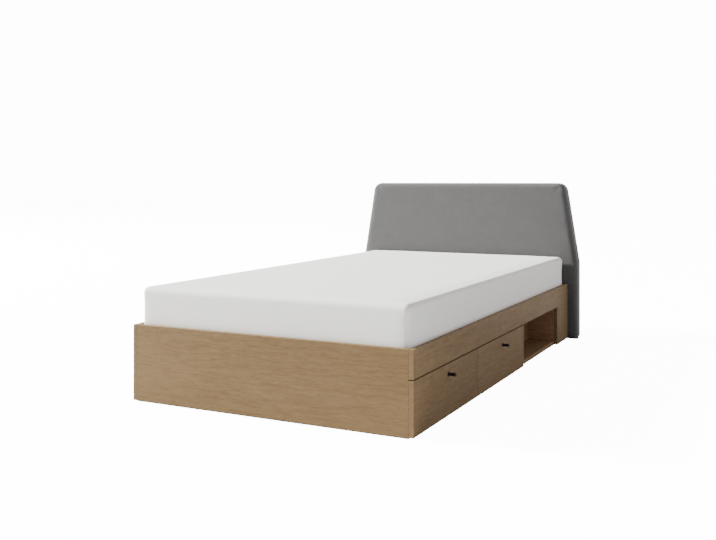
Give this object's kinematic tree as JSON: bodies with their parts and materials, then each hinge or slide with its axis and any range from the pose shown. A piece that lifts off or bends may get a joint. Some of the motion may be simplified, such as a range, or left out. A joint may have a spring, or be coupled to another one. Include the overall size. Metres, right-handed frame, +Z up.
{
  "type": "bed",
  "caption": "Low storage bed with a mattress, a padded headboard that narrows upwards, side drawers on ball slides and an open side niche.",
  "frame": {"origin": "on the floor, below the middle of the whole bed", "axes": "+X towards the drawer side, +Y from the foot to the headboard, +Z up"},
  "size_m": [1.232, 2.105, 0.808],
  "materials": {
    "oak_board": "satin",
    "birch_board": "satin",
    "pine": "matte",
    "zinc_steel": "satin",
    "black_metal": "matte",
    "black_plastic": "matte",
    "grey_weave": "matte",
    "black_cloth": "matte",
    "foam": "matte",
    "white_ticking": "matte"
  },
  "bodies": {
    "bed_frame": {"foot_panel": "oak_board", "left_side_panel": "oak_board", "right_upper_rail": "oak_board", "right_end_panel": "oak_board", "head_end_board": "oak_board", "centre_spine": "birch_board", "middle_partition": "birch_board", "niche_partition": "oak_board", "head_partition": "oak_board", "niche_shelf": "oak_board", "niche_back_panel": "oak_board", "niche_top_panel": "oak_board", "left_cross_panel_1": "birch_board", "left_cross_panel_2": "birch_board", "left_cross_panel_3": "birch_board", "right_ledger": "pine", "left_ledger": "pine", "ledger_screws": "zinc_steel", "bed_slats": "pine", "slat_screws": "zinc_steel", "dowels": "pine", "corner_brackets": "zinc_steel", "bracket_screws": "zinc_steel", "floor_glides": "black_plastic", "drawer_1_slide_outers": "zinc_steel", "drawer_2_slide_outers": "zinc_steel", "slide_screws": "zinc_steel", "headboard_core": "pine", "headboard_foam": "foam", "headboard_cover": "grey_weave", "headboard_back_cloth": "black_cloth", "headboard_battens": "pine", "headboard_bolts": "zinc_steel", "headboard_tee_nuts": "zinc_steel", "mattress": "white_ticking"},
    "drawer_1": {"drawer_1_front": "oak_board", "drawer_1_foot_side": "birch_board", "drawer_1_head_side": "birch_board", "drawer_1_back": "birch_board", "drawer_1_bottom": "birch_board", "drawer_1_fittings": "zinc_steel", "drawer_1_knob": "black_metal", "drawer_1_slide_inners": "zinc_steel"},
    "drawer_1_middle_members": {"drawer_1_slide_middles": "zinc_steel"},
    "drawer_1_outer_cages": {"drawer_1_outer_ball_cages": "zinc_steel"},
    "drawer_1_inner_cages": {"drawer_1_inner_ball_cages": "zinc_steel"},
    "drawer_2": {"drawer_2_front": "oak_board", "drawer_2_foot_side": "birch_board", "drawer_2_head_side": "birch_board", "drawer_2_back": "birch_board", "drawer_2_bottom": "birch_board", "drawer_2_fittings": "zinc_steel", "drawer_2_knob": "black_metal", "drawer_2_slide_inners": "zinc_steel"},
    "drawer_2_middle_members": {"drawer_2_slide_middles": "zinc_steel"},
    "drawer_2_outer_cages": {"drawer_2_outer_ball_cages": "zinc_steel"},
    "drawer_2_inner_cages": {"drawer_2_inner_ball_cages": "zinc_steel"}
  },
  "joints": [
    {"name": "drawer_1_slide", "type": "slide", "parent": "bed_frame", "child": "drawer_1", "axis": [1, 0, 0], "range_m": [0, 0.45]},
    {"name": "drawer_1_middle_slide", "type": "slide", "parent": "bed_frame", "child": "drawer_1_middle_members", "axis": [1, 0, 0], "range_m": [0, 0.225]},
    {"name": "drawer_1_outer_cage_slide", "type": "slide", "parent": "bed_frame", "child": "drawer_1_outer_cages", "axis": [1, 0, 0], "range_m": [0, 0.1125]},
    {"name": "drawer_1_inner_cage_slide", "type": "slide", "parent": "bed_frame", "child": "drawer_1_inner_cages", "axis": [1, 0, 0], "range_m": [0, 0.3375]},
    {"name": "drawer_2_slide", "type": "slide", "parent": "bed_frame", "child": "drawer_2", "axis": [1, 0, 0], "range_m": [0, 0.45]},
    {"name": "drawer_2_middle_slide", "type": "slide", "parent": "bed_frame", "child": "drawer_2_middle_members", "axis": [1, 0, 0], "range_m": [0, 0.225]},
    {"name": "drawer_2_outer_cage_slide", "type": "slide", "parent": "bed_frame", "child": "drawer_2_outer_cages", "axis": [1, 0, 0], "range_m": [0, 0.1125]},
    {"name": "drawer_2_inner_cage_slide", "type": "slide", "parent": "bed_frame", "child": "drawer_2_inner_cages", "axis": [1, 0, 0], "range_m": [0, 0.3375]}
  ],
  "couplings": [
    {"joint": "drawer_1_middle_slide", "follows": "drawer_1_slide", "ratio": 0.5},
    {"joint": "drawer_1_outer_cage_slide", "follows": "drawer_1_slide", "ratio": 0.25},
    {"joint": "drawer_1_inner_cage_slide", "follows": "drawer_1_slide", "ratio": 0.75},
    {"joint": "drawer_2_middle_slide", "follows": "drawer_2_slide", "ratio": 0.5},
    {"joint": "drawer_2_outer_cage_slide", "follows": "drawer_2_slide", "ratio": 0.25},
    {"joint": "drawer_2_inner_cage_slide", "follows": "drawer_2_slide", "ratio": 0.75}
  ]
}
